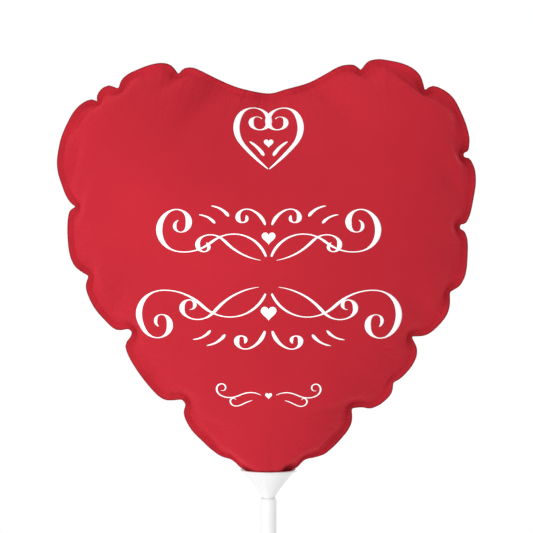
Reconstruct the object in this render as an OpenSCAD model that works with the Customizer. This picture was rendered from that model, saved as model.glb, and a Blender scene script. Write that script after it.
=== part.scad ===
// Heart-shaped foil balloon on a cup and stick.
// Frame: origin at the middle of the stick's lower end, +Z up the stick, front of the balloon
// towards -Y. The two film panels meet in the plane y = 0.

/* [Balloon] */
// Width of the inflated heart across its widest lobes
balloon_w = 224; // [190:1:240]
// Thickness of the inflated heart, front to back
balloon_depth = 98; // [70:1:120]
// Width of the flat heat-sealed band round the edge
seam_w = 3.4; // [2:0.2:5]
// Thickness that stands for the film, which is thinner on the real thing
film_t = 0.1; // [0.05:0.05:0.4]
// Longest straight edge along the seam outline
seam_facet = 5; // [4:1:10]

/* [Valve and tail] */
// Width of the flat self-sealing valve
valve_w = 24; // [16:1:26]
// Height of the valve's open end above the stick
valve_top = 72; // [50:1:90]
// Diameter of the gathered filling tail
tail_d = 3.4; // [2.4:0.2:3.6]
// How far the tail hangs below the top of the stick
tail_len = 45; // [25:1:60]

/* [Cup] */
// Diameter over the cup's rim
cup_d = 30.2; // [30:0.2:34]
// Height of the cone above the stick, rim included
cup_h = 15.5; // [15:0.1:16]
// Diameter of the cone where it meets the stick
cup_neck_d = 7; // [6.6:0.2:8]
// Wall of the cup
cup_wall = 0.8; // [0.6:0.1:1]
// Hole through the cup's floor and spigot
cup_hole_d = 4.2; // [4:0.1:4.4]
// Length of the spigot that plugs into the stick
spigot_len = 16; // [8:1:24]

/* [Stick] */
// Length of the stick
stick_len = 300; // [150:10:400]
// Outer diameter of the stick
stick_d = 8.5; // [8:0.1:9]
// Bore of the stick
stick_bore_d = 6; // [5.8:0.1:6.4]

/* [Hidden] */
$fn = 96;

fit_gap = 0.05;        // radial clearance of the spigot in the stick
tip_gap = 0.7;         // room between the balloon's tip and the cup
stick_edge_r = 0.6;    // rounding of the stick's top edge
lip_h = 1.1;           // height of the bead round the cup's rim
lip_out = 0.22;        // how far that bead stands proud of the cone
shoulder_h = 0.8;      // straight part of the cup above the stick
foot_r = stick_bore_d / 2 + 0.12;   // narrower foot that the cup sits on
foot_h = 0.45;         // height of that foot
flare = 1.16;          // 1 is a straight cone, more is a trumpet
cone_rings = 10;
film_spread = 1.1;     // how fast the film widens once it is clear of the cup's rim
valve_t = 0.3;         // thickness that stands for one film of the valve

cup_r = cup_d / 2;
cone_mouth_r = cup_r - lip_out;
spigot_r = stick_bore_d / 2 - fit_gap;

// The seam is drawn for a heart 224 wide, as lobes between puckers. x is across and the second
// number is the height above the stick. Each lobe starts at a pucker and swells to the next one.
drawn_w = 224;
heart_centre = [0, 130];
tip_bottom = 2;
LOBES = [
    [[49.5, 229], [46, 231.7], [38.8, 231.1], [31.5, 227.4], [20, 221.7], [7.8, 218.2],
     [0, 216.6], [-14, 218.8], [-28, 224.6], [-40.5, 230.2], [-45.2, 229.9]],
    [[-48.3, 226.8], [-52, 231.5], [-58, 232.6], [-67.3, 230.5], [-75.2, 227], [-78.7, 223.5]],
    [[-80.1, 218.8], [-86, 220.8], [-90.1, 218.3], [-92, 214.8]],
    [[-91.6, 212.2], [-95.2, 213.5], [-99.5, 211.3], [-103.4, 207.4], [-107.3, 201.1],
     [-111.3, 192.4], [-113, 179.1], [-111.7, 170.5], [-108.5, 161.8], [-105.8, 157.9]],
    [[-102.8, 155.7], [-106.1, 154], [-107.3, 150], [-107.8, 143.8], [-107.3, 136.7],
     [-105.8, 128.9], [-103, 123.4], [-99.1, 120.4]],
    [[-96.3, 118.9], [-97.8, 113.8], [-96.5, 108.6], [-92.8, 101.4], [-88.3, 95.8],
     [-83.8, 91.3], [-81, 89.8], [-77.8, 90], [-74.7, 90.7]],
    [[-72.8, 88.9], [-74, 86], [-76.7, 82.7], [-76.3, 79.3], [-74, 74], [-69.5, 67.3],
     [-63.5, 59.4], [-59, 54.5], [-54.5, 52.2], [-50, 52.4], [-46.2, 53]],
    [[-44.2, 50.4], [-45.5, 45.5], [-44.4, 41.7], [-41, 36.1], [-35.7, 30.9], [-30.5, 26],
     [-25.2, 22.3], [-20.4, 20.9], [-17.2, 18.6]],
    [[-15.3, 16.5], [-12.4, 15.1], [-9.4, 10.8], [-5.6, 6.4], [-2.4, 2.9], [0, tip_bottom], [2.4, 2.9],
     [5.6, 6.4], [9.4, 10.8], [12.4, 15.1]],
    [[15.3, 16.5], [17.2, 18.6], [19.6, 20.7], [24.6, 21.8], [29.3, 23.3], [34, 26.9], [38.7, 31.6],
     [42.3, 35.9], [44.2, 39.4], [44.8, 43]],
    [[44.3, 48.2], [49.8, 48.6], [54.8, 47.8], [59.2, 49.6], [63.9, 53.6], [66.1, 57.1]],
    [[66.5, 62], [69.4, 63.3], [73.3, 66.5], [77.2, 71.2], [79.4, 76.3], [79.4, 80.3]],
    [[76.2, 86.6], [82.7, 86.7], [87.4, 88.9], [92.1, 93.6], [95.7, 99.1], [97, 104.6]],
    [[97.1, 110.2], [102.3, 113.6], [104.3, 117.1], [105.9, 123.4], [106.8, 134.5],
     [106, 140.2], [104.4, 142.7]],
    [[101.7, 145.3], [105.6, 147.6], [108.1, 152.5], [109.7, 159.9], [110.7, 168.8],
     [110.1, 176.2], [108.4, 180.3]],
    [[104, 183.5], [106.7, 186.5], [107.4, 191], [106, 198.4], [103.6, 205.7], [99.5, 213.1],
     [94.5, 217.6], [88.8, 220.5], [86.3, 220.2]],
    [[83.7, 218.2], [82.9, 221.3], [81.4, 225.4], [77.4, 229.5], [71.6, 232.4], [65.9, 234],
     [59.3, 235], [54.4, 234.2], [51.9, 232.4]]
];

// Share of the distance from the heart's centre to the seam at which each ring of the film lies
RINGS = [0.35, 0.62, 0.8, 0.915, 0.96, 1];

// A smooth curve through p1 and p2, with p0 and p3 as its neighbours
function spline(p0, p1, p2, p3, t) =
    (2 * p1 + (p2 - p0) * t + (2 * p0 - 5 * p1 + 4 * p2 - p3) * t * t
     + (3 * p1 - p0 - 3 * p2 + p3) * t * t * t) / 2;

// The lobe's points with the next pucker added, then the curve through them
function lobe_ends(i) = concat(LOBES[i], [LOBES[(i + 1) % len(LOBES)][0]]);
function lobe_curve(p) = [
    for (i = [0:len(p) - 2])
        let (steps = ceil(norm(p[i + 1] - p[i]) / seam_facet))
        for (s = [0:steps - 1])
            spline(p[max(i - 1, 0)], p[i], p[i + 1], p[min(i + 2, len(p) - 1)], s / steps)
];

// The tip below the cup's rim keeps its size, and the rest follows the balloon's width
heart_scale = balloon_w / drawn_w;
function grow(p) = let (s = p[1] < cup_h + 4 ? 1 : heart_scale)
    [p[0] * s, cup_h + (p[1] - cup_h) * s];
SEAM = [for (i = [0:len(LOBES) - 1]) for (p = lobe_curve(lobe_ends(i))) grow(p)];
CENTRE = grow(heart_centre);

// Outer radius of the cone at height h above the stick, and the room that the film has there
function cone_r(h) = cup_neck_d / 2
    + (cone_mouth_r - cup_neck_d / 2) * pow(max(h - shoulder_h, 0) / (cup_h - shoulder_h), flare);
function film_room(h) = h < cup_h
    ? cone_r(h) - cup_wall * 1.3 - tip_gap
    : cone_r(cup_h) - cup_wall * 1.3 - tip_gap + (h - cup_h) * film_spread;

// Bulge of the film at a share u of the way out, held inside the cup near the tip
function bulge(p, u) =
    let (free = (balloon_depth / 2 - film_t) * pow(1 - pow(u, 2.6), 0.62),
         held = sqrt(max(pow(film_room(p[1]), 2) - p[0] * p[0], 0)) - film_t)
    max(min(free, held), 0);

function ring_point(edge, u) =
    let (out = edge - CENTRE,
         body = out * (1 - seam_w / norm(out)))
    CENTRE + body * u;

function film_point(p, y) = [p[0], -y, stick_len + p[1]];

// One side of the panel: the centre, the rings and the outer edge
function film_side(extra) = concat(
    [film_point(CENTRE, bulge(CENTRE, 0) + extra)],
    [for (u = RINGS) for (edge = SEAM)
        let (p = ring_point(edge, u)) film_point(p, bulge(p, u) + extra)],
    [for (edge = SEAM) film_point(edge, extra)]
);

function ring_faces(first, flip) =
    let (n = len(SEAM))
    concat(
        [for (i = [0:n - 1])
            let (a = first + 1 + i, b = first + 1 + (i + 1) % n)
            flip ? [first, b, a] : [first, a, b]],
        [for (r = [0:len(RINGS) - 1]) for (i = [0:n - 1])
            let (a = first + 1 + r * n + i, b = first + 1 + r * n + (i + 1) % n)
            for (f = [[a, a + n, b + n], [a, b + n, b]])
                flip ? [f[2], f[1], f[0]] : f]
    );

function edge_faces(outer, inner) =
    let (n = len(SEAM))
    [for (i = [0:n - 1])
        let (j = (i + 1) % n)
        for (f = [[outer + i, inner + i, inner + j], [outer + i, inner + j, outer + j]]) f];

module film_panel() {
    n = len(SEAM);
    side = 1 + n * (len(RINGS) + 1);
    polyhedron(
        points = concat(film_side(film_t), film_side(0)),
        faces = concat(
            ring_faces(0, false),
            ring_faces(side, true),
            edge_faces(side - n, 2 * side - n)
        ),
        convexity = 6
    );
}

module front_panel() {
    color("crimson") film_panel();
}

module back_panel() {
    color("firebrick") mirror([0, 1, 0]) film_panel();
}

// One flat strip of the valve, narrowed where it runs down into the tip. The two strips cling
// together in the plane of the seam.
module valve_strip(y) {
    half = valve_w / 2;
    translate([0, y + valve_t, stick_len])
        rotate([90, 0, 0])
            linear_extrude(valve_t)
                polygon([[-0.5, 6.2], [-half + 4, cup_h + 2], [-half, cup_h + 12],
                         [-half, valve_top], [half, valve_top],
                         [half, cup_h + 12], [half - 4, cup_h + 2], [0.5, 6.2]]);
}

module valve_front_film() {
    color("whitesmoke") valve_strip(-valve_t);
}

module valve_back_film() {
    color("gainsboro") valve_strip(0);
}

// The neck of both panels, gathered into a cord that runs down inside the stick
module filling_tail() {
    color("silver")
        rotate_extrude()
            polygon([[0, stick_len - tail_len], [tail_d / 2 - 0.3, stick_len - tail_len],
                     [tail_d / 2, stick_len - tail_len + 1], [tail_d / 2, stick_len + 0.5],
                     [tail_d / 2 - 0.5, stick_len + tip_bottom],
                     [0, stick_len + tip_bottom]]);
}

module cup() {
    lip_low = cup_h - lip_h;
    outside = [for (i = [0:cone_rings])
        let (h = shoulder_h + (lip_low - shoulder_h) * i / cone_rings) [cone_r(h), h]];
    inside = [for (i = [cone_rings:-1:0])
        let (h = shoulder_h + 0.5 + (cup_h - 0.8 - shoulder_h) * i / cone_rings)
        [max(cone_r(h) - cup_wall * 1.3, cup_hole_d / 2 + 0.2), h]];
    profile = concat(
        [[cup_hole_d / 2, -spigot_len], [spigot_r - 0.4, -spigot_len],
         [spigot_r, -spigot_len + 1.2], [spigot_r, 0], [foot_r, 0], [foot_r, foot_h],
         [cup_neck_d / 2, foot_h + 0.1]],
        outside,
        [[cup_r, lip_low + 0.25], [cup_r, cup_h - 0.35], [cup_r - 0.3, cup_h],
         [cone_r(cup_h) - cup_wall * 1.1, cup_h]],
        inside,
        [[cup_hole_d / 2, shoulder_h]]
    );
    color("white") translate([0, 0, stick_len]) rotate_extrude() polygon(profile);
}

module stick() {
    r = stick_d / 2;
    arc = [for (a = [0:15:90])
        [r - stick_edge_r + stick_edge_r * cos(a), stick_len - stick_edge_r + stick_edge_r * sin(a)]];
    color("snow")
        rotate_extrude()
            polygon(concat([[stick_bore_d / 2, 0], [r, 0]], arc, [[stick_bore_d / 2, stick_len]]));
}

front_panel();
back_panel();
valve_front_film();
valve_back_film();
filling_tail();
cup();
stick();
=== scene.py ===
import math

import bpy
import numpy as np
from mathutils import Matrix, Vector
from mathutils.bvhtree import BVHTree
from mathutils.geometry import delaunay_2d_cdt


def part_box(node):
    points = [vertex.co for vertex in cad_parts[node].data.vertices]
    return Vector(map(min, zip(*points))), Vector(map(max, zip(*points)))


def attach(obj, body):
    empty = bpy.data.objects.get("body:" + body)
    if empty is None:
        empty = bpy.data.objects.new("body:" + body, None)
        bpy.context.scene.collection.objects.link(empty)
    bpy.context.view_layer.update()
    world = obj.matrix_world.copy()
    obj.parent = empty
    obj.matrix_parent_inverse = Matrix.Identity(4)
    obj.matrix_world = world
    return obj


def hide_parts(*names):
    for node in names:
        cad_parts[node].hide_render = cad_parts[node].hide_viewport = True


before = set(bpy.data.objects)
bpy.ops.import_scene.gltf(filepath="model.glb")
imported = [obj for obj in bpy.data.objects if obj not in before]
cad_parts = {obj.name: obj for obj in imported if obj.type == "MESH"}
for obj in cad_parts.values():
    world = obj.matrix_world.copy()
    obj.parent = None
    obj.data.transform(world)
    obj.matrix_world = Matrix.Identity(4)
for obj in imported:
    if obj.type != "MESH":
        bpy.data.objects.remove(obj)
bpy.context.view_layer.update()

# ---------------------------------------------------------------------------------------------
# Sizes. Lengths of the film are worked out in millimetres and turned into metres at the end.
# ---------------------------------------------------------------------------------------------
MM = 0.001
RIM_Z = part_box("cup")[1].z / MM           # top of the cup
STICK_TOP_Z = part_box("stick")[1].z / MM

SEAM_W = 3.4          # flat heat-sealed band
TIP_SEAM_W = 0.9      # what stays flat of it in the cup's mouth, where the gas folds it round
TIP_SEAM_FROM = 1     # height above the rim where the band starts to widen
TIP_SEAM_TO = 12      # and where it has its full width
SEAM_POINTS = 330     # points round the seam
FILM_CELL = 3.0       # triangle side of the film before it is refined
CELL_CLEAR = 0.65     # share of that side that stays free between the seam and the grid
LOBE_BLUR = 6         # seam points of blur that take the lobes out of the outline
TIP_BLUR = 2          # and those that still leave the tip sharp
SHARE_BLUR = 12       # blur of the extra length round the cut
FILL = 1.16           # flat width of the heart over its inflated width
TIP_FILL = 1.12       # the same for the length down to the tip
TIP_WIDTH = 1.5       # how much wider still the tip is cut, to fill the cup's mouth
TIP_REACH = 60        # height over which it widens
TIP_FROM = -6         # the tip keeps its sharp shape up to this height above the rim,
TIP_FADE = 10         # and loses it over this height
TRIM_BLUR = 4         # blur of the direction in which the flat cut is wider than the seam
SEAM_WAVE = 1.4       # how far the seam wanders to the front and back
WAVE_FROM = 7         # height above the rim where that starts
WAVE_FADE = 20        # height over which it grows to its full size
PUCKER_STEP = 13      # length of one half wave of the seam
PUCKER_TURN = -50     # the outline turns back by more degrees than this at a pucker
DENT_TURN = -6        # and the seam, which is smoother, by more than this
DENT_BLUR = 1.5
DENT_NEAR = 4         # a pucker is the sharpest dent among this many points on either side
BAY_X = 100           # a pucker farther to the right than this ends in a round bay
BAY_R = 1.5
BAY_REACH = 7         # how far from such a pucker's end its sides are changed
BAY_FLARE = 16        # its sides part by the cube of the depth over this
BAY_BLUR = 0.9
FILM_T = 0.1          # thickness of the film
FILM_GAP = 0.05       # half the gap between the two panels at the seam
BAND_ROWS = (0.35, 0.7, 1.0)   # rows of points across the sealed band, as shares of its width
BAND_LEAN = 0.25      # how much farther than the seam the band's edge stands to the front or back
CREASE_SPREAD = 0.16  # how fast the fine creases change inwards, to 1 along the seam

CONE_FROM = 0.5       # height above the stick where the cup's cone begins
CUP_NECK_R = 3.5      # the cone's outside, from its neck to its mouth
CUP_MOUTH_R = 14.88
CUP_FLARE = 1.16
CUP_WALL = 1.04
CUP_ROOM = 0.5        # space between film and cup
RIM_CLEAR = 0.5       # height over which the film still clears the rim
RIM_SPREAD = 2.8      # how fast the film may spread above that
LEAST_R = 0.5         # radius that the film always has
NEAR_CUP_Z = RIM_Z + 12   # the cup bounds the film below this height

HEART_CENTRE = np.array([0.0, STICK_TOP_Z + 130])


# ---------------------------------------------------------------------------------------------
# Closed outlines, as arrays of (x, z) that run anticlockwise seen from the front
# ---------------------------------------------------------------------------------------------
def turning(loop):
    """Angle turned at each point, negative where the outline is dented."""
    step = np.roll(loop, -1, 0) - loop
    heading = np.arctan2(step[:, 1], step[:, 0])
    return (heading - np.roll(heading, 1) + math.pi) % (2 * math.pi) - math.pi


def lengths(loop):
    return np.linalg.norm(np.roll(loop, -1, 0) - loop, axis=1)


def respaced(loop, count):
    """Points at even steps along the loop. Columns after the first two go with them."""
    ring = np.vstack([loop, loop[:1]])
    along = np.r_[0, np.cumsum(np.linalg.norm(np.diff(ring[:, :2], axis=0), axis=1))]
    wanted = np.linspace(0, along[-1], count, endpoint=False)
    return np.stack([np.interp(wanted, along, ring[:, k]) for k in range(ring.shape[1])], 1)


def softened(values, sigma):
    """Values round a loop, blurred by a Gaussian of sigma points."""
    values = np.asarray(values, float)
    rate = 2 * math.pi * np.fft.fftfreq(len(values))
    keep = np.exp(-0.5 * (rate * sigma) ** 2)
    if values.ndim == 2:
        keep = keep[:, None]
    return np.real(np.fft.ifft(np.fft.fft(values, axis=0) * keep, axis=0))


def inward(loop, sigma):
    """The direction into the loop at each of its points, once it is blurred by sigma points."""
    smooth = softened(loop, sigma)
    along = np.roll(smooth, -1, 0) - np.roll(smooth, 1, 0)
    along /= np.linalg.norm(along, axis=1)[:, None]
    return np.stack([-along[:, 1], along[:, 0]], 1)


def packed_outline(node):
    """The outer edge of a panel in the seam's plane, in order."""
    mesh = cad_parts[node].data
    co = np.array([v.co for v in mesh.vertices]) / MM
    links = {}
    for face in mesh.polygons:
        corners = co[list(face.vertices)]
        if abs(face.normal.y) > 0.2 or np.abs(corners[:, 1]).max() > 0.5:
            continue
        ends = sorted({(round(x, 3), round(z, 3)) for x, y, z in corners.tolist() if abs(y) < 1e-3})
        if len(ends) == 2:
            links.setdefault(ends[0], []).append(ends[1])
            links.setdefault(ends[1], []).append(ends[0])
    loop = [max(links, key=lambda p: p[1])]
    before = None
    while True:
        after = next(p for p in links[loop[-1]] if p != before)
        if after == loop[0]:
            break
        before = loop[-1]
        loop.append(after)
    loop = np.array(loop)
    area = np.sum(loop[:, 0] * np.roll(loop[:, 1], -1) - np.roll(loop[:, 0], -1) * loop[:, 1])
    return loop if area > 0 else loop[::-1]


def spline(p0, p1, p2, p3, t):
    """The place at share t of a smooth curve from p1 to p2."""
    return (2 * p1 + (p2 - p0) * t + (2 * p0 - 5 * p1 + 4 * p2 - p3) * t * t
            + (3 * p1 - p0 - 3 * p2 + p3) * t ** 3) / 2


def pucker_ends(loop):
    """The numbers of the points where the outline turns back between two lobes."""
    return np.flatnonzero(np.degrees(turning(loop)) < PUCKER_TURN)


def lobed_curve(loop, steps=8):
    """A smooth curve through each lobe, with the puckers between lobes kept sharp."""
    puckers = pucker_ends(loop)
    curve = []
    for first, last in zip(puckers, np.roll(puckers, -1)):
        span = (last - first) % len(loop)
        p = loop[(first + np.arange(span + 1)) % len(loop)]
        for i in range(span):
            ends = p[max(i - 1, 0)], p[i], p[i + 1], p[min(i + 2, span)]
            curve += [spline(*ends, k / steps) for k in range(steps)]
    return np.array(curve)


def with_bays(loop, ends):
    """The outline with the sides of these puckers drawn together, to slots with a round end."""
    made = loop.copy()
    for end in ends:
        away = loop - end
        reach = np.linalg.norm(away, axis=1)
        near = reach < BAY_REACH
        axis = away[near].mean(0)
        axis /= np.linalg.norm(axis)
        across = np.array([-axis[1], axis[0]])
        depth = away[near] @ axis
        side = away[near] @ across
        round_end = 1 - np.clip(depth / BAY_R, 0, 1)
        flare = np.maximum(depth - BAY_R, 0) ** 3 / BAY_FLARE
        width = BAY_R * np.sqrt(1 - round_end ** 2) + flare
        share = np.clip((BAY_REACH - reach[near]) / (BAY_REACH - 2 * BAY_R), 0, 1)
        share *= share * (3 - 2 * share)
        shift = (np.sign(side) * width - side) * share
        made[near] += shift[:, None] * across
    return softened(made, BAY_BLUR)


def seam_waves(seam):
    """How far the seam stands to the front or back, with a crest at each pucker."""
    count = len(seam)
    dent = softened(np.degrees(turning(seam)), DENT_BLUR)
    near = np.stack([np.roll(dent, k) for k in range(-DENT_NEAR, DENT_NEAR + 1)])
    puckers = np.flatnonzero((dent < DENT_TURN) & (dent <= near.min(0)))
    phase = np.zeros(count)
    turned = 0.0
    for first, last in zip(puckers, np.r_[puckers[1:], puckers[0] + count]):
        halves = max(1, round((last - first) * lengths(seam).mean() / PUCKER_STEP))
        steps = np.arange(first, last)
        phase[steps % count] = turned + (steps - first) / (last - first) * halves * math.pi
        turned += halves * math.pi
    fade = np.clip((seam[:, 1] - RIM_Z - WAVE_FROM) / WAVE_FADE, 0, 1)
    return np.cos(phase) * SEAM_WAVE * fade


def flat_outline(seam):
    """The heart as it was cut: the seam without its lobes, wider by FILL, and with the same
    share of extra length everywhere round it."""
    without_lobes = softened(seam, LOBE_BLUR)
    at_tip = softened(seam, TIP_BLUR)
    upper = np.clip((seam[:, 1] - RIM_Z - TIP_FROM) / TIP_FADE, 0, 1)[:, None]
    smooth = (without_lobes * upper + at_tip * (1 - upper)) - HEART_CENTRE
    down = np.clip(-smooth[:, 1] / np.linalg.norm(smooth, axis=1), 0, 1)[:, None]
    cut = HEART_CENTRE + smooth * (FILL + (TIP_FILL - FILL) * down ** 6)
    low = np.clip(1 - (cut[:, 1] - cut[:, 1].min()) / TIP_REACH, 0, 1)
    cut[:, 0] *= 1 + (TIP_WIDTH - 1) * low * low * (3 - 2 * low)
    share = softened(lengths(cut) / lengths(seam), SHARE_BLUR)
    wanted = lengths(seam) * share
    wanted *= lengths(cut).sum() / wanted.sum()
    along = np.r_[0, np.cumsum(lengths(cut))]
    ring = np.vstack([cut, cut[:1]])
    places = np.r_[0, np.cumsum(wanted)][:-1]
    return np.stack([np.interp(places, along, ring[:, k]) for k in range(2)], 1)


# ---------------------------------------------------------------------------------------------
# The film's triangles
# ---------------------------------------------------------------------------------------------
def within(points, loop):
    """Which points lie inside the loop."""
    x, z = points.T
    inside = np.zeros(len(points), bool)
    for (ax, az), (bx, bz) in zip(loop, np.roll(loop, -1, 0)):
        if az != bz:
            crosses = (az > z) != (bz > z)
            inside ^= crosses & (x < (bx - ax) * (z - az) / (bz - az) + ax)
    return inside


def triangulated(loop, cell):
    """Even triangles that fill the loop. The loop's own points come first."""
    low, high = loop.min(0), loop.max(0)
    rows = np.arange(low[1], high[1], cell * math.sqrt(3) / 2)
    grid = np.array([
        (x + (cell / 2 if k % 2 else 0), z)
        for k, z in enumerate(rows) for x in np.arange(low[0], high[0], cell)
    ])
    grid = grid[within(grid, loop)]
    away = np.array([np.min(np.sum((loop - p) ** 2, 1)) for p in grid])
    grid = grid[away > (CELL_CLEAR * cell) ** 2]
    rim = [(i, (i + 1) % len(loop)) for i in range(len(loop))]
    points = [Vector(p) for p in np.vstack([loop, grid])]
    made = delaunay_2d_cdt(points, rim, [], 1, 1e-6)
    points, faces = np.array([tuple(v) for v in made[0]]), np.array(made[2])
    a, b, c = (points[faces[:, k]] for k in range(3))
    clockwise = (b - a)[:, 0] * (c - a)[:, 1] < (b - a)[:, 1] * (c - a)[:, 0]
    faces[clockwise] = faces[clockwise, ::-1]
    return points, faces


def edges_of(faces):
    sides = np.vstack([faces[:, [0, 1]], faces[:, [1, 2]], faces[:, [2, 0]]])
    return np.unique(np.sort(sides, 1), axis=0)


def across_edges(faces):
    """For each edge inside the film, the two corners on either side of it."""
    waiting, pairs = {}, []
    for face in faces.tolist():
        for k in range(3):
            a, b, c = face[k], face[(k + 1) % 3], face[(k + 2) % 3]
            key = (min(a, b), max(a, b))
            if key in waiting:
                pairs.append((waiting.pop(key), c))
            else:
                waiting[key] = c
    return np.array(pairs)


def independent_groups(pairs, count):
    """Groups of pairs that share no point, so that a whole group is solved at once."""
    used, groups = [0] * count, {}
    for k, (a, b) in enumerate(pairs.tolist()):
        taken, group = used[a] | used[b], 0
        while taken >> group & 1:
            group += 1
        used[a] |= 1 << group
        used[b] |= 1 << group
        groups.setdefault(group, []).append(k)
    return [np.array(groups[g]) for g in sorted(groups)]


def averaged(start, fixed, edges, rounds, source=0.0):
    """Values that spread evenly over the film from its fixed edge, by repeated averaging."""
    values, count = start.copy(), len(start)
    shares = np.bincount(edges.ravel(), minlength=count)
    for _ in range(rounds):
        total = np.stack([
            np.bincount(edges[:, 0], values[edges[:, 1], k], count)
            + np.bincount(edges[:, 1], values[edges[:, 0], k], count)
            for k in range(values.shape[1])
        ], 1)
        values[~fixed] = (total / shares[:, None] + source)[~fixed]
    return values


# ---------------------------------------------------------------------------------------------
# Inflation. Both panels start as low domes and swell under gas pressure. The film hardly
# stretches, gives way when it is pushed together, and resists sharp folds a little.
# ---------------------------------------------------------------------------------------------
STEPS = 1100
PRESSURE_START, PRESSURE_END = 0.02, 0.004
PUSH_STIFFNESS = 0.15
FOLD_STIFFNESS = 0.05
DRAG = 0.985
FASTEST = 1.0         # mm in one step
SPREAD_ROUNDS = 300   # to spread the first places evenly inside the seam
DOME_ROUNDS = 800     # to raise the domes that the panels start as
DOME_HEIGHT = 46
DOME_POWER = 0.6
ROUGHNESS = 0.05      # random offsets at the start, so that no crease is favoured
PANELS_APART = 0.02   # least distance of a panel from the seam's surface
LEAN, LEAN_MOST = 0.5, 6.0   # how far in from the seam the film stays as it rises from it
LEAN_FIRM = 0.5
CALM_ROUNDS = 14      # smoothing of the swollen film
CALM_AMOUNTS = (0.5, -0.52)   # in, and out again so that nothing shrinks


def cup_room(z):
    """Radius that the film may take at height z, inside the cup and just above it."""
    up = np.clip((z - STICK_TOP_Z - CONE_FROM) / (RIM_Z - STICK_TOP_Z - CONE_FROM), 0, 1)
    inside = CUP_NECK_R + (CUP_MOUTH_R - CUP_NECK_R) * up ** CUP_FLARE - CUP_WALL - CUP_ROOM
    return np.maximum(inside + np.maximum(z - RIM_Z - RIM_CLEAR, 0) * RIM_SPREAD, LEAST_R)


def kept_in_cup(points):
    """Points (x, y, z) moved inwards where they would touch the cup."""
    reach = np.hypot(points[:, 0], points[:, 1])
    squeeze = np.minimum(1, cup_room(points[:, 2]) / np.maximum(reach, 1e-6))
    return points * np.stack([squeeze, squeeze, np.ones(len(points))], 1)


class Room:
    """How far a point lies inside the seam's outline, and the way to go to be farther in,
    looked up on a grid of GRID mm."""
    GRID = 1.5
    MARGIN = 6

    def __init__(self, seam):
        self.low = seam.min(0) - self.MARGIN
        counts = ((seam.max(0) + self.MARGIN - self.low) / self.GRID).astype(int) + 2
        x, z = np.meshgrid(*(np.arange(n) * self.GRID for n in counts), indexing="ij")
        points = np.stack([x, z], -1).reshape(-1, 2) + self.low
        line = respaced(seam, 2 * len(seam))
        apart = np.sqrt(np.array([np.min(np.sum((line - p) ** 2, 1)) for p in points]))
        inset = np.where(within(points, line), apart, -apart).reshape(counts)
        self.values = np.stack([inset, *np.gradient(inset, self.GRID)], -1)

    def __call__(self, points):
        at = (points - self.low) / self.GRID
        at = np.clip(at, 0, np.array(self.values.shape[:2]) - 1.001)
        i, k = at.astype(int).T
        u, v = (at - np.stack([i, k], 1)).T[:, :, None]
        near = self.values[i, k] * (1 - u) + self.values[i + 1, k] * u
        far = self.values[i, k + 1] * (1 - u) + self.values[i + 1, k + 1] * u
        return near * (1 - v) + far * v


def low_domes(flat, faces, seam, waves):
    """Both panels before they swell, and the surface (y) between them that the seam spans."""
    count, rim = len(flat), len(seam)
    fixed = np.arange(count) < rim
    edges = edges_of(faces)
    place = np.c_[HEART_CENTRE + (flat - HEART_CENTRE) / FILL, np.zeros(count)]
    place[:rim] = np.c_[seam, waves]
    place = averaged(place, fixed, edges, SPREAD_ROUNDS)
    middle = place[:, 2]
    dome = averaged(np.zeros((count, 1)), fixed, edges, DOME_ROUNDS, source=1.0)[:, 0]
    dome = (dome / dome.max()) ** DOME_POWER * DOME_HEIGHT
    draws = np.random.default_rng(7)
    panels = []
    for side in (-1, 1):
        panel = np.c_[place[:, 0], middle + side * dome, place[:, 1]]
        panel[rim:] += draws.normal(0, ROUGHNESS, (count - rim, 3))
        panels.append(panel)
    return np.vstack(panels), middle


def springs(pairs, flat, weight, pushed, pulled):
    """Pairs of points that keep their distance on the flat cut, in both panels. A pair gives
    up the share pushed of what it is too short, and the share pulled of what it is too long."""
    both = np.tile(flat, (2, 1))
    pairs = np.vstack([pairs, pairs + len(flat)])
    pairs = pairs[weight[pairs].sum(1) > 0]
    rest = np.linalg.norm(both[pairs[:, 0]] - both[pairs[:, 1]], axis=1)
    made = []
    for group in independent_groups(pairs, 2 * len(flat)):
        a, b = pairs[group].T
        share = weight[a] + weight[b]
        made.append((a, b, rest[group], (weight[a] / share)[:, None],
                     (weight[b] / share)[:, None], pushed, pulled))
    return made


def relax(film, rules):
    """Moves the points of each pair towards its rest length."""
    for a, b, rest, share_a, share_b, pushed, pulled in rules:
        apart = film[a] - film[b]
        now = np.sqrt(np.einsum("ij,ij->i", apart, apart))
        error = now - rest
        error *= np.where(error > 0, pulled, pushed) / np.maximum(now, 1e-9)
        apart *= error[:, None]
        film[a] -= apart * share_a
        film[b] += apart * share_b


def outward(points, faces):
    """For each point a third of the area round it, along the way that the area faces."""
    a, b, c = (points[faces[:, k]] for k in range(3))
    normal = np.repeat(np.cross(b - a, c - a) / 6, 3, axis=0)
    at = faces.ravel()
    return np.stack([np.bincount(at, normal[:, k], len(points)) for k in range(3)], 1)


def keep_inside(film, loose, side, middle, room):
    """Keeps the panels apart, inside the seam's outline and inside the cup."""
    crossed = loose & (side * (film[:, 1] - middle) < PANELS_APART)
    film[crossed, 1] = middle[crossed] + side[crossed] * PANELS_APART
    rise = np.abs(film[:, 1] - middle)
    found = room(film[:, [0, 2]])
    lean = LEAN * rise / (1 + rise * LEAN / LEAN_MOST)
    outside = np.where(loose & (found[:, 0] < lean), lean - found[:, 0], 0)
    film[:, 0] += outside * found[:, 1] * LEAN_FIRM
    film[:, 2] += outside * found[:, 2] * LEAN_FIRM
    low = loose & (film[:, 2] < NEAR_CUP_Z)
    film[low] = kept_in_cup(film[low])


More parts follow.
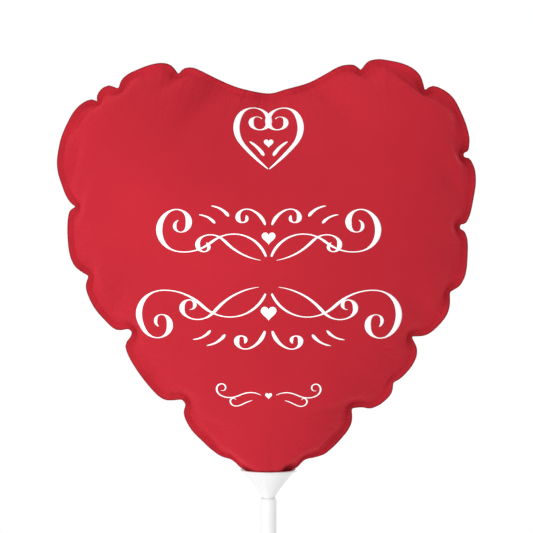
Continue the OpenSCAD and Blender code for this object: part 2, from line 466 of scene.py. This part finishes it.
def inflate(seam, waves, cut):
    """The flat cut with its triangles, and the front and back panels once they have swollen."""
    flat, faces = triangulated(cut, FILM_CELL)
    count = len(flat)
    film, middle = low_domes(flat, faces, seam, waves)
    middle = np.tile(middle, 2)
    side = np.repeat([-1.0, 1.0], count)
    loose = np.tile(np.arange(count) >= len(seam), 2)
    weight = loose.astype(float)
    rules = springs(edges_of(faces), flat, weight, PUSH_STIFFNESS, 1.0)
    rules += springs(across_edges(faces), flat, weight, FOLD_STIFFNESS, 0.0)
    room = Room(seam)
    both_faces = np.vstack([faces, faces + count])
    sign = -side[:, None]
    cell_area = FILM_CELL ** 2 * math.sqrt(3) / 2
    speed = np.zeros_like(film)
    for step in range(STEPS):
        left = (1 - step / STEPS) ** 2
        push = PRESSURE_START * left + PRESSURE_END * (1 - left)
        speed += outward(film, both_faces) * sign * (push / cell_area)
        speed *= DRAG
        before = film.copy()
        film[loose] += speed[loose]
        relax(film, rules)
        keep_inside(film, loose, side, middle, room)
        speed = film - before
        fast = np.sqrt((speed ** 2).sum(1))
        speed[fast > FASTEST] *= (FASTEST / fast[fast > FASTEST])[:, None]
    return flat, faces, film[:count], film[count:]


def calmed(points, faces, fixed):
    """Takes out bumps of one triangle's size and leaves the wrinkles."""
    edges = edges_of(faces)
    for _ in range(CALM_ROUNDS):
        for amount in CALM_AMOUNTS:
            evened = averaged(points, fixed, edges, 1)
            points = points + (evened - points) * amount
    return points


def refined(points, faces, creases):
    """One round of Loop subdivision, with the creases and the outer edge kept as lines."""
    count = len(points)
    corners = np.sort(np.vstack([faces[:, [0, 1]], faces[:, [1, 2]], faces[:, [2, 0]]]), 1)
    facing = points[np.r_[faces[:, 2], faces[:, 0], faces[:, 1]]]
    keys, place, uses = np.unique(corners @ [count, 1], return_inverse=True, return_counts=True)
    ends = np.stack([keys // count, keys % count], 1)
    crease_keys = np.sort(creases, 1) @ [count, 1]
    hard = (uses == 1) | np.isin(keys, crease_keys)

    def gathered(where, what, size):
        return np.stack([np.bincount(where, what[:, k], size) for k in range(what.shape[1])], 1)

    half = (points[ends[:, 0]] + points[ends[:, 1]]) / 2
    middles = np.where(hard[:, None], half, half * 0.75 + gathered(place, facing, len(keys)) / 8)

    def near(chosen):
        a, b = ends[chosen].T
        total = gathered(np.r_[a, b], points[np.r_[b, a]], count)
        return total, np.bincount(np.r_[a, b], minlength=count)[:, None]

    total, valence = near(np.ones(len(ends), bool))
    pull = (5 / 8 - (3 / 8 + np.cos(2 * math.pi / valence) / 4) ** 2) / valence
    moved = points * (1 - valence * pull) + total * pull
    hard_total, hard_valence = near(hard)
    moved = np.where(hard_valence == 2, points * 0.75 + hard_total / 8, moved)
    ab, bc, ca = (place + count).reshape(3, -1)
    a, b, c = faces.T
    quarters = (a, ab, ca), (b, bc, ab), (c, ca, bc), (ab, bc, ca)
    faces = np.vstack([np.stack(quarter, 1) for quarter in quarters])
    new = np.searchsorted(keys, crease_keys) + count
    low, high = np.sort(creases, 1).T
    creases = np.vstack([np.stack([low, new], 1), np.stack([new, high], 1)])
    return np.vstack([moved, middles]), faces, creases


def add_mesh(name, points, faces, body, material):
    """points are in millimetres."""
    mesh = bpy.data.meshes.new(name)
    places = (np.asarray(points)[:, :3] * MM).tolist()
    mesh.from_pydata(places, [], [list(map(int, face)) for face in faces])
    mesh.materials.append(material)
    mesh.shade_smooth()
    piece = bpy.data.objects.new(name, mesh)
    bpy.context.scene.collection.objects.link(piece)
    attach(piece, body)
    return piece


def add_values(piece, name, values):
    kind, field = ("FLOAT", "value") if values.ndim == 1 else ("FLOAT_VECTOR", "vector")
    layer = piece.data.attributes.new(name, kind, "POINT")
    layer.data.foreach_set(field, np.ascontiguousarray(values, np.float32).ravel())


def seam_places(flat, rim):
    """For each point of the flat cut, its distance from the seam, and the seam's nearest point
    as (x, z) on a ring as long as the seam."""
    cut = flat[:rim]
    apart = [np.sum((cut - p) ** 2, 1) for p in flat]
    inset = np.sqrt([a.min() for a in apart])
    nearest = np.array([a.argmin() for a in apart])
    inset[:rim] = 0
    nearest[:rim] = np.arange(rim)
    turn = np.arange(rim) * 2 * math.pi / rim
    ring_r = lengths(cut).sum() / (2 * math.pi)
    return inset, (np.stack([np.cos(turn), np.sin(turn)], 1) * ring_r)[nearest]


def film_mesh(side, flat, faces, film, edge):
    """One panel with its half of the sealed band, as points, triangles, the creases along the
    seam and the flat cut's outer edge. The points' columns are x, y, z, the place on the flat
    cut, how far out from the seam, and the nearest place on the seam's ring."""
    count, rim = len(flat), len(edge) // 2
    inset, on_ring = seam_places(flat, rim)
    film = calmed(film, faces, np.arange(count) < rim)
    points = np.c_[film, flat, -inset, on_ring]
    points[:, 1] += side * FILM_GAP
    ring = np.arange(rim)
    points, faces, creases = refined(points, faces, np.stack([ring, (ring + 1) % rim], 1))
    low = (points[:, 2] < NEAR_CUP_Z) & (points[:, 5] < 0)
    points[low, :3] = kept_in_cup(points[low, :3])

    last = np.stack([ring, creases[:rim, 1]], 1).ravel()
    after = np.roll(np.arange(2 * rim), -1)
    base = points[last]
    cut = base[:, 3:5]
    band = edge - base[:, [0, 2]]
    outer = cut - inward(cut, TRIM_BLUR) * np.linalg.norm(band, axis=1)[:, None]
    wave = base[:, 1] - side * FILM_GAP
    for share in BAND_ROWS:
        place = base[:, [0, 2]] + band * share
        here = len(points) + np.arange(2 * rim)
        points = np.vstack([points, np.c_[
            place[:, 0], base[:, 1] + wave * BAND_LEAN * share, place[:, 1],
            cut + (outer - cut) * share, np.full(2 * rim, SEAM_W * share), base[:, 6:8]]])
        faces = np.vstack([faces, np.stack([last, here, here[after]], 1),
                           np.stack([last, here[after], last[after]], 1)])
        last = here
    if side > 0:
        faces = faces[:, ::-1]
    return points, faces, creases, outer


def film_panel(name, side, flat, faces, film, edge, material):
    """One panel as a piece. side is -1 for the front and 1 for the back. edge is the film's
    outer edge, with two points for each point of the seam."""
    points, faces, creases, outer = film_mesh(side, flat, faces, film, edge)
    piece = add_mesh(name, points, faces, "balloon", material)
    add_values(piece, "cut", np.c_[points[:, 3:5] * MM, np.zeros(len(points))])
    add_values(piece, "along_seam", np.c_[points[:, 6:8], points[:, 5] * CREASE_SPREAD] * MM)
    add_values(piece, "from_seam", points[:, 5])
    sharp = {tuple(sorted(pair)) for pair in creases.tolist()}
    layer = piece.data.attributes.new("sharp_edge", "BOOLEAN", "EDGE")
    layer.data.foreach_set("value", [tuple(sorted(e.vertices)) in sharp for e in piece.data.edges])
    shell = piece.modifiers.new("thickness", "SOLIDIFY")
    shell.thickness = FILM_T * MM
    shell.offset = 1
    return piece, BVHTree.FromPolygons(points[:, :3].tolist(), faces.tolist())


# ---------------------------------------------------------------------------------------------
# Materials. The film's are laid out in millimetres outward from the seam.
# ---------------------------------------------------------------------------------------------
TRIM_FROM, TRIM_TO = 2.5, 3.2        # where the cut edge darkens
BAND_FROM, BAND_TO = -0.2, 0.2       # where the marks of the sealing bar begin
CREASES_FROM, CREASES_TO = -48, -2   # where the fine creases grow towards the seam


class Nodes:
    """A material's node tree, written as short calls."""

    def __init__(self, name):
        self.material = bpy.data.materials.new(name)
        self.material.use_nodes = True
        self.tree = self.material.node_tree
        self.shader = self.tree.nodes["Principled BSDF"]

    def add(self, kind, inputs=(), **settings):
        node = self.tree.nodes.new(kind)
        for key, value in settings.items():
            setattr(node, key, value)
        for key, value in dict(inputs).items():
            self.set(node.inputs[key], value)
        return node

    def set(self, socket, value):
        if isinstance(value, bpy.types.NodeSocket):
            self.tree.links.new(value, socket)
        else:
            socket.default_value = value

    def shade(self, values):
        for key, value in values.items():
            self.set(self.shader.inputs[key], value)

    def product(self, a, b):
        return self.add("ShaderNodeMath", {0: a, 1: b}, operation="MULTIPLY").outputs[0]

    def mixed(self, share, first, second):
        """A blend of two colours. 6 and 7 are the sockets for colours, and so is output 2."""
        node = self.add("ShaderNodeMix", {0: share, 6: first, 7: second}, data_type="RGBA")
        return node.outputs[2]

    def ramp(self, value, stops):
        node = self.add("ShaderNodeValToRGB", {"Fac": value})
        elements = node.color_ramp.elements
        while len(elements) < len(stops):
            elements.new(0.5)
        for element, (position, colour) in zip(elements, stops):
            element.position = position
            element.color = (*colour, 1)
        return node.outputs["Color"]

    def noise(self, vector, scale, detail=2.0, roughness=0.5):
        return self.add("ShaderNodeTexNoise", {
            "Vector": vector, "Scale": scale, "Detail": detail, "Roughness": roughness,
        }).outputs["Fac"]

    def bump(self, height, distance, strength=1.0, under=None):
        inputs = {"Height": height, "Distance": distance, "Strength": strength}
        if under is not None:
            inputs["Normal"] = under
        return self.add("ShaderNodeBump", inputs).outputs["Normal"]

    def mapped(self, value, low, high):
        """0 at low, 1 at high, and smooth between."""
        return self.add("ShaderNodeMapRange", {"Value": value, "From Min": low, "From Max": high},
                        interpolation_type="SMOOTHSTEP").outputs[0]

    def attribute(self, name, output="Fac"):
        return self.add("ShaderNodeAttribute", attribute_name=name).outputs[output]

    def place(self):
        return self.add("ShaderNodeTexCoord").outputs["Object"]


def darker(colour, share):
    return tuple(c * share for c in colour)


def film_material(name, red, dark_red):
    """Printed foil: satin red ink, fine creases that run in from the seam, and a sealed band
    with the marks of the sealing bar and a darker cut edge."""
    n = Nodes(name)
    cut = n.attribute("cut", "Vector")
    edge = n.attribute("from_seam")
    body = n.ramp(n.noise(cut, 22, 3), [(0.3, dark_red), (0.7, red)])
    trim = n.mapped(edge, TRIM_FROM, TRIM_TO)
    colour = n.mixed(trim, body, (*darker(dark_red, 0.6), 1))
    band = n.mapped(edge, BAND_FROM, BAND_TO)
    near_seam = n.mapped(edge, CREASES_FROM, CREASES_TO)
    rays = n.noise(n.attribute("along_seam", "Vector"), 150, 3, 0.55)
    creases = n.product(rays, near_seam)
    bars = n.add("ShaderNodeTexWave", {"Vector": cut, "Scale": 420.0, "Distortion": 1.5},
                 wave_type="BANDS", bands_direction="DIAGONAL").outputs["Fac"]
    pressed = n.product(bars, band)
    normal = n.bump(n.noise(cut, 1100, 2), 0.00001, 0.5)
    normal = n.bump(n.noise(cut, 70, 4, 0.6), 0.00016, 0.5, normal)
    normal = n.bump(creases, 0.003, 0.6, normal)
    normal = n.bump(pressed, 0.00003, 0.6, normal)
    patches = n.noise(cut, 45, 3)
    sheen = n.add("ShaderNodeMapRange", {"Value": patches, "To Min": 0.63, "To Max": 0.72})
    n.shade({
        "Base Color": colour,
        "Roughness": sheen.outputs[0],
        "Normal": normal,
        "Metallic": 0.25,
        "Diffuse Roughness": 1.0,
        "Specular IOR Level": 0.03,
        "Specular Tint": (1.0, 0.3, 0.35, 1),
    })
    return n.material


def ink_material(name, white):
    n = Nodes(name)
    place = n.place()
    tint = n.ramp(n.noise(place, 300, 3), [(0.35, darker(white, 0.97)), (0.65, white)])
    normal = n.bump(n.noise(place, 2500, 2), 0.00001, 0.4)
    n.shade({"Base Color": tint, "Roughness": 0.45, "Normal": normal, "Specular IOR Level": 0.3})
    return n.material


def neck_material(name, red, silver):
    """Red film outside, with its silver inner face showing in the folds."""
    n = Nodes(name)
    place = n.place()
    drawn_out = n.add("ShaderNodeMapping", {"Vector": place, "Scale": (1, 1, 0.12)}).outputs[0]
    colour = n.ramp(n.noise(drawn_out, 900, 2), [(0.56, red), (0.6, silver)])
    normal = n.bump(n.noise(place, 1800, 3), 0.00003, 0.6)
    n.shade({"Base Color": colour, "Roughness": 0.35, "Normal": normal, "Specular IOR Level": 0.4})
    return n.material


def valve_material(name, dim, bright):
    n = Nodes(name)
    place = n.place()
    tint = n.ramp(n.noise(place, 90, 3), [(0.35, dim), (0.65, bright)])
    normal = n.bump(n.noise(place, 160, 3), 0.0002, 0.5)
    n.shade({"Base Color": tint, "Roughness": 0.18, "Normal": normal, "Transmission Weight": 0.6})
    return n.material


def plastic_material(name, colour, roughness):
    """Moulded plastic with a very fine grain."""
    n = Nodes(name)
    place = n.place()
    tint = n.ramp(n.noise(place, 120, 3), [(0.3, darker(colour, 0.985)), (0.7, colour)])
    normal = n.bump(n.noise(place, 1500, 2), 0.00001, 0.4)
    n.shade({"Base Color": tint, "Roughness": roughness, "Normal": normal})
    return n.material


FILM_RED = (0.475, 0.0235, 0.037)
FILM_DARK = (0.452, 0.022, 0.035)
print_film = film_material("printed_film", FILM_RED, FILM_DARK)
plain_film = film_material("plain_film", FILM_RED, FILM_DARK)
ink_white = ink_material("white_ink", (0.9, 0.9, 0.9))
neck_film = neck_material("gathered_film", FILM_RED, (0.62, 0.62, 0.63))
valve_clear = valve_material("valve_film", (0.72, 0.74, 0.76), (0.8, 0.82, 0.84))
cup_white = plastic_material("cup_plastic", (0.665, 0.665, 0.67), 0.3)
stick_white = plastic_material("stick_plastic", (0.66, 0.66, 0.665), 0.42)


# ---------------------------------------------------------------------------------------------
# The printed ornament: scrolls and small hearts, each drawn once and mirrored
# ---------------------------------------------------------------------------------------------
INK_STEP = 0.4        # length of one step of the pen
INK_EASE = 12         # steps over which one bend passes into the next
INK_TAPER = 7         # a stroke tapers over its length divided by this, at both ends
INK_ROWS = (-0.5, -0.17, 0.17, 0.5)   # points across a stroke, as shares of its width
INK_T = 0.03          # thickness
INK_GAP = 0.05        # between the film and the middle of the ink
INK_LAYERS = 7        # heights that the strokes take in turn, so that crossing ones don't coincide
INK_LAYER_STEP = 0.004
ROW_HEIGHTS = (490, 442.5, 397, 357.5)    # middle of each row
IN_FRONT = -200       # y of a place well in front of the film


def pen_line(start, heading, bends):
    """A smooth line. Each bend is a length and the degrees that the line turns left over it."""
    curl = np.concatenate([
        np.full(round(length / INK_STEP), math.radians(turn) / length) for length, turn in bends
    ])
    window = np.hanning(2 * INK_EASE + 3)[1:-1]
    curl = np.convolve(np.pad(curl, INK_EASE, mode="edge"), window / window.sum(), "valid")
    angles = math.radians(heading) + np.cumsum(curl) * INK_STEP
    moves = np.stack([np.cos(angles), np.sin(angles)], 1) * INK_STEP
    return np.array(start) + np.cumsum(moves, 0), angles


def stroke(start, heading, bends, swell, hair=0.5):
    """A pen stroke, thin where it runs level and swelling where it runs up or down. The grid of
    points has one row across the stroke at each step."""
    line, angles = pen_line(start, heading, bends)
    share = np.linspace(0, 1, len(line))
    ends = np.clip(np.minimum(share, 1 - share) * INK_TAPER, 0, 1) ** 0.7
    width = (hair + (swell - hair) * np.abs(np.sin(angles)) ** 2.5) * (0.3 + 0.7 * ends)
    across = np.stack([-np.sin(angles), np.cos(angles)], 1) * width[:, None]
    return np.stack([line + across * k for k in INK_ROWS], 1)


def small_heart(height, width):
    """A filled heart on the middle line, as rings that grow from its middle. The curve that
    its outline follows is 32 wide."""
    t = np.linspace(0, 2 * math.pi, 49)
    x = 16 * np.sin(t) ** 3
    z = 13 * np.cos(t) - 5 * np.cos(2 * t) - 2 * np.cos(3 * t) - np.cos(4 * t)
    rim = np.stack([x, z], 1) * width / 32
    return np.stack([rim * k + [0, height] for k in np.linspace(0.02, 1, 8)], 1)


def ornament():
    """Grids of points (x, z) for the whole print."""
    top, upper, lower, low = ROW_HEIGHTS
    halves = [
        stroke((0, top - 16.5), 40, [(19, 10), (18, 70), (21, 150), (14, 170), (8, 150)], 3.2),
        stroke((2.2, top - 9.5), 62, [(11, -30)], 2.6, 0.6),
        stroke((1.2, upper - 14), 72, [(34, -112), (19, 50), (27, 140), (18, 160), (11, 200)], 3.2),
        stroke((3.6, upper - 15.5), 8, [(22, 40), (13, -80), (9, -130), (7, -170)], 2.5),
        stroke((1.6, upper + 2), 75, [(13, -60), (9, -120), (7.5, -200)], 2.5),
        stroke((20, upper + 6.5), 58, [(11, -50)], 2.7, 0.6),
        stroke((27, upper + 3), 55, [(10, -50)], 2.5, 0.6),
        stroke((1.4, lower + 13.5), -68,
               [(39, 112), (24, -50), (31, -135), (20, -160), (12, -200)], 3.4),
        stroke((4.6, lower + 16.5), -6, [(27, -45), (16.5, 85), (11, 140), (8, 190)], 2.7),
        stroke((1.8, lower - 5.5), -78, [(14, 60), (9, 120), (8, 210)], 2.7),
        stroke((22, lower - 7.5), -58, [(12, 50)], 2.7, 0.6),
        stroke((29.5, lower - 5.5), -55, [(11, 50)], 2.5, 0.6),
        stroke((3.5, low), 32, [(12, -64), (11, 60), (8, 150), (6, 200)], 0.9),
        stroke((8, low - 2.5), -15, [(8, -20), (6, 110), (4, 160)], 0.8, 0.45),
    ]
    mirrored = [grid[:, ::-1] * [-1, 1] for grid in halves]
    hearts = [small_heart(top - 2.2, 5), small_heart(upper - 4, 7), small_heart(lower + 3.5, 8),
              small_heart(low, 3.5)]
    return halves + mirrored + hearts


def printed(name, film_tree, material):
    """Lays the ornament on the front of the film."""
    points, faces = [], []
    for layer, grid in enumerate(ornament()):
        rows, columns = grid.shape[:2]
        lift = FILM_T + INK_GAP + INK_LAYER_STEP * (layer % INK_LAYERS)
        first = len(points)
        for x, z in grid.reshape(-1, 2):
            hit, normal, _, _ = film_tree.ray_cast(Vector((x, IN_FRONT, z)), Vector((0, 1, 0)))
            normal *= -1 if normal.y > 0 else 1
            points.append(hit + normal * lift)
        for i in range(rows - 1):
            for k in range(columns - 1):
                a = first + i * columns + k
                faces.append((a, a + columns, a + columns + 1, a + 1))
    piece = add_mesh(name, points, faces, "balloon", material)
    ink = piece.modifiers.new("thickness", "SOLIDIFY")
    ink.thickness = INK_T * MM
    ink.offset = 0
    return piece


# ---------------------------------------------------------------------------------------------
# The gathered neck and the valve films
# ---------------------------------------------------------------------------------------------
NECK_RINGS = 120
NECK_POINTS = 84      # points round each ring
NECK_SHARE = 0.97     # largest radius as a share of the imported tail's
NECK_WAIST = 0.14     # how much the neck swells and narrows along its length
NECK_TOP = 0.04       # share of its length over which its top draws in
NECK_CUT = 0.07       # share of its length that its cut end makes uneven
NECK_RAGGED = 0.9     # how uneven that end is

VALVE_ABOVE = (6.2, 17.5, 27.5)   # heights above the stick where the strips change their width
VALVE_POINT = 0.5     # half width at the lower end
VALVE_SHOULDER = 4    # how much narrower than at the top they are in the neck, on each side
VALVE_GAP = 0.12      # half the distance between the two strips
VALVE_BOW = 0.1       # how far their sides bow apart
VALVE_CURL = 0.5      # how far the upper end curls away
VALVE_T = 0.05
VALVE_ROWS, VALVE_COLUMNS = 48, 17


def tube(rings):
    """A closed skin over rings of equal size, as (points, faces)."""
    size = len(rings[0])
    faces = [tuple(range(size))[::-1]]
    for r in range(len(rings) - 1):
        for k in range(size):
            a, b = r * size + k, r * size + (k + 1) % size
            faces.append((a, b, b + size, a + size))
    faces.append(tuple(range((len(rings) - 1) * size, len(rings) * size)))
    return np.vstack(rings), faces


def gathered_neck(material):
    """The neck's film, pleated together and twisted a little, down to its cut mouth."""
    low, high = (corner.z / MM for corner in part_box("filling_tail"))
    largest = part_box("filling_tail")[1].x / MM
    turn = np.linspace(0, 2 * math.pi, NECK_POINTS, endpoint=False)
    draws = np.random.default_rng(5)
    depth = draws.uniform(0.16, 0.3, 3)
    rings = []
    for share in np.linspace(0, 1, NECK_RINGS):
        z = low + (high - low) * share
        twist = share * 2.6 + 0.35 * math.sin(share * 9)
        pleats = 0.5 + 0.5 * np.cos(7 * turn + twist * 7)
        fine_pleats = (0.5 + 0.5 * np.cos(11 * turn - twist * 5 + 1.3)) ** 2
        broad_folds = 0.4 * (0.5 + 0.5 * np.cos(3 * turn + twist * 4))
        folds = 1 - depth[0] * pleats - depth[1] * fine_pleats - depth[2] * broad_folds
        narrow = 1 - NECK_WAIST * (1 - math.cos(share * 3 * math.pi))
        narrow -= 0.35 * max(share - 1 + NECK_TOP, 0) / NECK_TOP
        radius = largest * NECK_SHARE * folds * narrow
        ragged = NECK_RAGGED * (1 + np.sin(2 * turn + 0.6)) * max(1 - share / NECK_CUT, 0)
        rings.append(np.stack([radius * np.cos(turn), radius * np.sin(turn), z + ragged], 1))
    points, faces = tube(rings)
    piece = add_mesh("gathered_neck", points, faces, "balloon", material)
    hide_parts("filling_tail")
    return piece


def valve_film(name, node, side, material):
    """One film of the valve: a thin strip that clings to the other one and curls at its end."""
    low, high = (corner.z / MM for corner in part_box(node))
    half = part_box(node)[1].x / MM
    rows, columns = VALVE_ROWS, VALVE_COLUMNS
    shares = np.linspace(0, 1, rows)
    heights = low + (high - low) * shares
    half_widths = np.interp(
        heights - STICK_TOP_Z, VALVE_ABOVE, [VALVE_POINT, half - VALVE_SHOULDER, half])
    grid = []
    for z, width, share in zip(heights, half_widths, shares):
        x = np.linspace(-width, width, columns)
        y = side * (VALVE_GAP + VALVE_BOW * (x / half) ** 2 * share + VALVE_CURL * share ** 6)
        grid.append(np.stack([x, y, np.full(columns, z)], 1))
    faces = [(a, a + 1, a + columns + 1, a + columns)
             for r in range(rows - 1) for a in range(r * columns, (r + 1) * columns - 1)]
    piece = add_mesh(name, np.vstack(grid), faces, "balloon", material)
    film = piece.modifiers.new("thickness", "SOLIDIFY")
    film.thickness = VALVE_T * MM
    film.offset = side
    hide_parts(node)
    return piece


# ---------------------------------------------------------------------------------------------
# The balloon
# ---------------------------------------------------------------------------------------------
packed = packed_outline("front_panel")
outline = respaced(lobed_curve(packed), 1000)
above_rim = outline[:, 1] - RIM_Z
band = np.interp(above_rim, [TIP_SEAM_FROM, TIP_SEAM_TO], [TIP_SEAM_W, SEAM_W])[:, None]
seam_line = softened(outline + inward(outline, 2) * band, 1)
ends = packed[pucker_ends(packed)]
film_edge = with_bays(outline, ends[ends[:, 0] > BAY_X])
lines = respaced(np.hstack([seam_line, film_edge]), 2 * SEAM_POINTS)
seam, film_edge = lines[::2, :2], lines[:, 2:]
flat, faces, front_film, back_film = inflate(seam, seam_waves(seam), flat_outline(seam))
front, front_tree = film_panel(
    "front_film_panel", -1, flat, faces, front_film, film_edge, print_film)
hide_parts("front_panel")
back, _ = film_panel(
    "back_film_panel", 1, flat, faces, back_film, film_edge, plain_film)
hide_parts("back_panel")
printed("printed_scrolls", front_tree, ink_white)
gathered_neck(neck_film)
valve_film("valve_front_strip", "valve_front_film", -1, valve_clear)
valve_film("valve_back_strip", "valve_back_film", 1, valve_clear)

for node, material in (("cup", cup_white), ("stick", stick_white)):
    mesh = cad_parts[node].data
    mesh.materials.clear()
    mesh.materials.append(material)


# ---------------------------------------------------------------------------------------------
# Floor, light and camera
# ---------------------------------------------------------------------------------------------
FLOOR_R = 1.7
FLOOR_Z = -0.0005     # just under the stick's lower end
FLOOR_POINTS = 96
floor_mesh = bpy.data.meshes.new("floor")
floor_ring = [(FLOOR_R * math.cos(a), FLOOR_R * math.sin(a), FLOOR_Z)
              for a in np.linspace(0, 2 * math.pi, FLOOR_POINTS, endpoint=False)]
floor_mesh.from_pydata(floor_ring, [], [list(range(FLOOR_POINTS))])
floor = bpy.data.objects.new("floor", floor_mesh)
floor_mesh.materials.append(plastic_material("floor_paint", (0.9, 0.9, 0.9), 0.8))
bpy.context.scene.collection.objects.link(floor)

LIT_Z = 0.42          # height of the balloon's middle, where the lamps point

scene = bpy.context.scene
scene.view_settings.view_transform = "Standard"
world = bpy.data.worlds.new("studio")
scene.world = world
world.use_nodes = True
world.node_tree.nodes["Background"].inputs["Color"].default_value = (1, 1, 1, 1)
world.node_tree.nodes["Background"].inputs["Strength"].default_value = 1.0


def soft_light(name, azimuth, height, distance, size, power):
    """A round lamp that points at the balloon. azimuth 0 is straight in front, and a positive
    one is to the right."""
    lamp = bpy.data.lights.new(name, "AREA")
    lamp.shape = "DISK"
    lamp.size = size
    lamp.energy = power
    light = bpy.data.objects.new(name, lamp)
    a = math.radians(azimuth)
    light.location = (distance * math.sin(a), -distance * math.cos(a), height)
    aim = Vector((0, 0, LIT_Z)) - light.location
    light.rotation_mode = "QUATERNION"
    light.rotation_quaternion = aim.to_track_quat("-Z", "Y")
    scene.collection.objects.link(light)


soft_light("key", -35, 0.44, 1.6, 1.2, 15.3)
soft_light("back_fill", 150, 0.9, 1.6, 0.9, 7)

SENSOR_W = 36
VIEW_W = 0.285        # width of the view at the seam's plane
DISTANCE = 0.92       # from the camera to the seam's plane
VIEW_CENTRE = (-0.0011, 0.4239)   # x and z that the camera looks at
camera_data = bpy.data.cameras.new("camera")
camera = bpy.data.objects.new("camera", camera_data)
scene.collection.objects.link(camera)
camera_data.sensor_width = SENSOR_W
camera_data.lens = SENSOR_W * DISTANCE / VIEW_W
camera.location = (VIEW_CENTRE[0], -DISTANCE, VIEW_CENTRE[1])
camera.rotation_euler = (math.pi / 2, 0, 0)
scene.camera = camera
